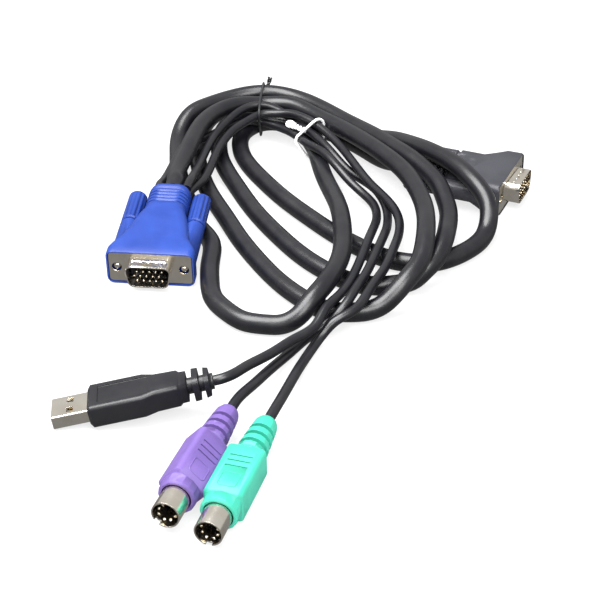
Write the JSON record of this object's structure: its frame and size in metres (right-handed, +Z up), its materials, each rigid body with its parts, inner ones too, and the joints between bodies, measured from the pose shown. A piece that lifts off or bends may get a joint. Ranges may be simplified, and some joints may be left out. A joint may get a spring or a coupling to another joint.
{
  "type": "kvm cable",
  "caption": "Bundled computer-to-switch cable: thick lead with a D-shaped screw-on plug at each end, and thin leads to a USB plug and round keyboard and mouse plugs.",
  "frame": {"origin": "centre of the whole bundle's outline on the table it lies on", "axes": "+Z up from the table, +Y along the bundle away from the three small plugs, +X to the right as the picture shows it"},
  "size_m": [0.174, 0.3134, 0.0212],
  "materials": {
    "blue_moulding": "satin moulded PVC, bright blue",
    "charcoal_moulding": "satin moulded PVC, dark grey with a violet cast",
    "purple_moulding": "satin moulded PVC, light purple",
    "green_moulding": "satin moulded PVC, mint green",
    "black_moulding": "satin moulded PVC, black",
    "nickel_plate": "bright nickel plate on stamped steel, slightly warm",
    "gold_plate": "gold-coloured plate",
    "insulator": "moulded black plastic",
    "contact_carrier": "moulded white plastic",
    "lead_sheath": "satin black PVC sheath",
    "black_tie_wire": "black plastic-coated wire",
    "white_tie_wire": "white plastic-coated wire"
  },
  "bodies": {
    "cable": {"vga_hood": "blue_moulding", "vga_shell": "nickel_plate", "vga_pin_block": "insulator", "console_hood": "charcoal_moulding", "console_shell": "nickel_plate", "console_pin_block": "insulator", "usb_overmould": "black_moulding", "usb_shell": "nickel_plate", "usb_tongue": "contact_carrier", "usb_contact_1": "gold_plate", "usb_contact_2": "gold_plate", "usb_contact_3": "gold_plate", "usb_contact_4": "gold_plate", "keyboard_overmould": "purple_moulding", "keyboard_shell": "nickel_plate", "keyboard_pin_block": "insulator", "mouse_overmould": "green_moulding", "mouse_shell": "nickel_plate", "mouse_pin_block": "insulator", "main_cable": "lead_sheath", "usb_cable": "lead_sheath", "keyboard_cable": "lead_sheath", "mouse_cable": "lead_sheath", "black_tie": "black_tie_wire", "white_tie": "white_tie_wire"},
    "vga_thumbscrew_left": {"vga_knob_left": "blue_moulding", "vga_screw_left": "nickel_plate"},
    "vga_thumbscrew_right": {"vga_knob_right": "blue_moulding", "vga_screw_right": "nickel_plate"},
    "console_thumbscrew_left": {"console_knob_left": "charcoal_moulding", "console_screw_left": "nickel_plate"},
    "console_thumbscrew_right": {"console_knob_right": "charcoal_moulding", "console_screw_right": "nickel_plate"}
  },
  "joints": [
    {"name": "vga_left_screw_spin", "type": "hinge", "parent": "cable", "child": "vga_thumbscrew_left", "pos_m": [-0.07362, -0.00308, 0.0072], "axis": [0.1004, 0.9885, 0.1132], "continuous": true},
    {"name": "vga_right_screw_spin", "type": "hinge", "parent": "cable", "child": "vga_thumbscrew_right", "pos_m": [-0.04876, -0.0056, 0.0072], "axis": [0.1004, 0.9885, 0.1132], "continuous": true},
    {"name": "console_left_screw_spin", "type": "hinge", "parent": "cable", "child": "console_thumbscrew_left", "pos_m": [0.07323, 0.05126, 0.00697], "axis": [-0.9135, 0.4067, 0], "continuous": true},
    {"name": "console_right_screw_spin", "type": "hinge", "parent": "cable", "child": "console_thumbscrew_right", "pos_m": [0.08338, 0.07406, 0.00827], "axis": [-0.9135, 0.4067, 0], "continuous": true}
  ]
}
